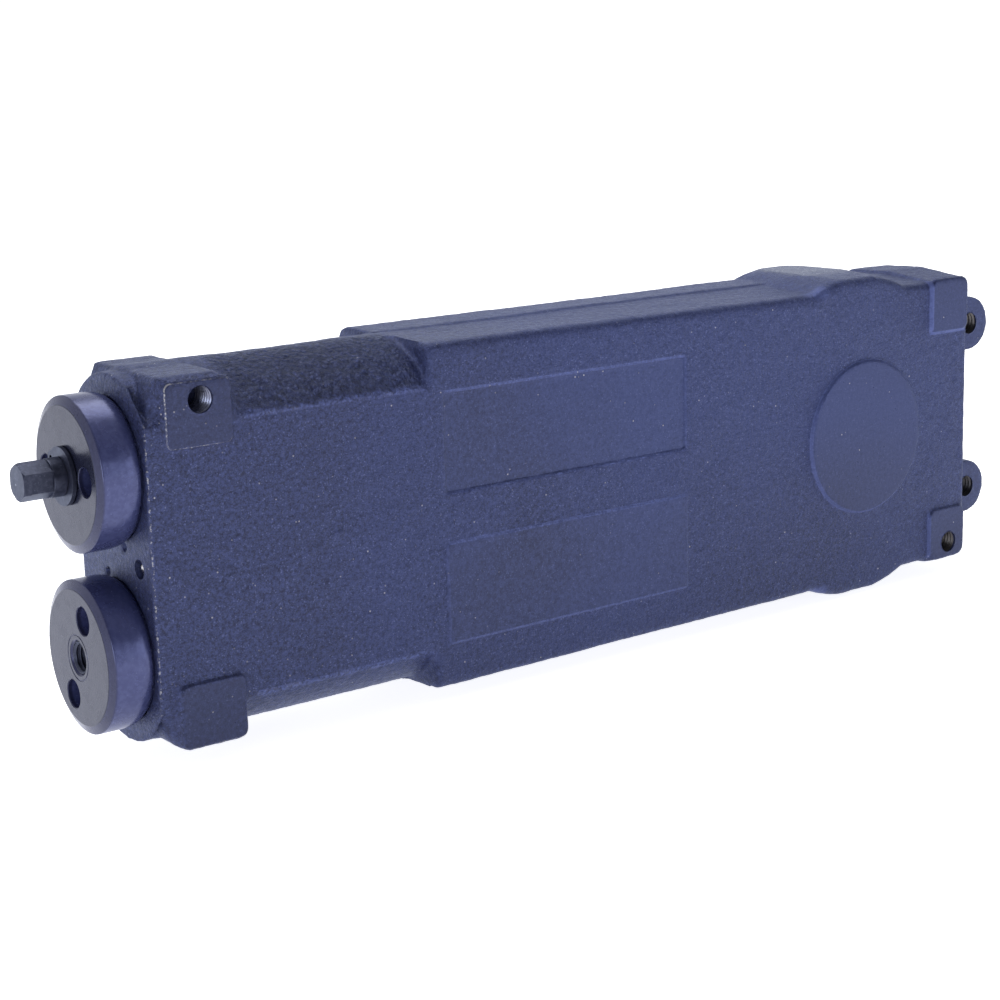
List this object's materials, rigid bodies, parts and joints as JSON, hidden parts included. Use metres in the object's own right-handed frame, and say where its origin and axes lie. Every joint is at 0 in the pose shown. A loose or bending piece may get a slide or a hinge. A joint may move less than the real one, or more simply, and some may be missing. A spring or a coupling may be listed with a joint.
{
  "type": "hydraulic door closer body",
  "caption": "Hydraulic floor-spring door closer: cast body with side-by-side spring and damper cylinders, end caps, hex adjuster, cam-driven spindle and screw ears.",
  "frame": {"origin": "on the spindle axis, in the plane of the raised bearing disc and corner pads", "axes": "+X along the length from the caps towards the screw ears, +Y along the spindle out of the body, +Z across the two cylinders, from the damper side to the spring side"},
  "size_m": [0.3493, 0.068, 0.1032],
  "materials": {
    "housing_paint": "metallic hammer enamel over sand casting",
    "cover_paint": "metallic enamel over machined plate",
    "cap_paint": "metallic enamel over turned steel",
    "hex_steel": "overspray on blackened steel",
    "black_steel": "black oxide",
    "ground_steel": "ground, oiled",
    "plate_steel": "machined, oiled",
    "spring_steel": "shot-peened",
    "bronze": "sintered bronze",
    "brass": "turned",
    "rubber": "moulded nitrile",
    "gasket_paper": "fibre sheet"
  },
  "bodies": {
    "closer_body": {"housing": "housing_paint", "chamber_cover": "cover_paint", "cover_gasket": "gasket_paper", "cover_screws": "black_steel", "lower_bush": "bronze", "upper_bush": "bronze", "shaft_seal": "rubber", "spring_cap": "cap_paint", "spring_cap_oring": "rubber", "adjuster_oring": "rubber", "thrust_washer": "ground_steel", "damper_cap": "cap_paint", "damper_cap_oring": "rubber", "bleed_screw": "black_steel", "gallery_ball_plug": "ground_steel", "closing_spring": "spring_steel"},
    "spindle_set": {"spindle": "ground_steel", "drive_cam": "ground_steel", "cam_key": "black_steel"},
    "carriage": {"yoke_plate_front": "plate_steel", "yoke_plate_rear": "plate_steel", "crosshead": "plate_steel", "crosshead_rivets": "plate_steel", "closing_roller_pin": "ground_steel", "damping_roller_pin": "ground_steel", "push_rod": "ground_steel", "spring_piston": "plate_steel", "damper_rod": "ground_steel", "damper_piston": "plate_steel", "piston_ring": "bronze", "check_retainer": "plate_steel", "check_spring": "spring_steel"},
    "closing_follower": {"closing_roller": "ground_steel"},
    "damping_follower": {"damping_roller": "ground_steel"},
    "check_valve_ball": {"check_ball": "ground_steel"},
    "adjuster": {"adjusting_screw": "hex_steel", "adjuster_circlip": "hex_steel"},
    "spring_seat": {"spring_seat_nut": "plate_steel"},
    "closing_valve_ring": {"closing_valve_oring": "rubber"},
    "closing_valve_screw": {"closing_valve": "brass"},
    "latching_valve_ring": {"latching_valve_oring": "rubber"},
    "latching_valve_screw": {"latching_valve": "brass"}
  },
  "joints": [
    {"name": "spindle_turn", "type": "hinge", "parent": "closer_body", "child": "spindle_set", "pos_m": [0, 0, 0], "axis": [0, 1, 0], "range_deg": [0, 130], "stiffness_Nm_per_rad": 8},
    {"name": "carriage_travel", "type": "slide", "parent": "closer_body", "child": "carriage", "axis": [-1, 0, 0], "range_m": [0, 0.01134], "deforming": ["closing_spring"]},
    {"name": "closing_roller_spin", "type": "hinge", "parent": "carriage", "child": "closing_follower", "pos_m": [-0.018, 0.0217, 0], "axis": [0, 1, 0], "continuous": true},
    {"name": "damping_roller_spin", "type": "hinge", "parent": "carriage", "child": "damping_follower", "pos_m": [0.03371, 0.0217, 0], "axis": [0, 1, 0], "continuous": true},
    {"name": "check_ball_lift", "type": "slide", "parent": "carriage", "child": "check_valve_ball", "axis": [-1, 0, 0], "range_m": [0, 0.001], "stiffness_N_per_m": 100, "deforming": ["check_spring"]},
    {"name": "spring_adjust", "type": "hinge", "parent": "closer_body", "child": "adjuster", "pos_m": [-0.26, 0.0217, 0.02365], "axis": [1, 0, 0], "range_deg": [0, 3600]},
    {"name": "spring_seat_travel", "type": "slide", "parent": "closer_body", "child": "spring_seat", "axis": [1, 0, 0], "range_m": [0, 0.01749], "deforming": ["closing_spring"]},
    {"name": "closing_valve_feed", "type": "slide", "parent": "closer_body", "child": "closing_valve_ring", "axis": [0, -1, 0], "range_m": [0, 0.00149]},
    {"name": "closing_valve_turn", "type": "hinge", "parent": "closing_valve_ring", "child": "closing_valve_screw", "pos_m": [-0.115, 0.035, 0], "axis": [0, -1, 0], "range_deg": [0, 720]},
    {"name": "latching_valve_feed", "type": "slide", "parent": "closer_body", "child": "latching_valve_ring", "axis": [0, -1, 0], "range_m": [0, 0.00149]},
    {"name": "latching_valve_turn", "type": "hinge", "parent": "latching_valve_ring", "child": "latching_valve_screw", "pos_m": [-0.08, 0.035, 0], "axis": [0, -1, 0], "range_deg": [0, 720]}
  ],
  "couplings": [
    {"joint": "spindle_turn", "follows": "carriage_travel", "rad_per_m": 200},
    {"joint": "closing_roller_spin", "follows": "carriage_travel", "rad_per_m": -478},
    {"joint": "damping_roller_spin", "follows": "carriage_travel", "rad_per_m": -600},
    {"joint": "spring_adjust", "follows": "spring_seat_travel", "rad_per_m": 3590.4},
    {"joint": "closing_valve_turn", "follows": "closing_valve_feed", "rad_per_m": 8377.6},
    {"joint": "latching_valve_turn", "follows": "latching_valve_feed", "rad_per_m": 8377.6}
  ]
}
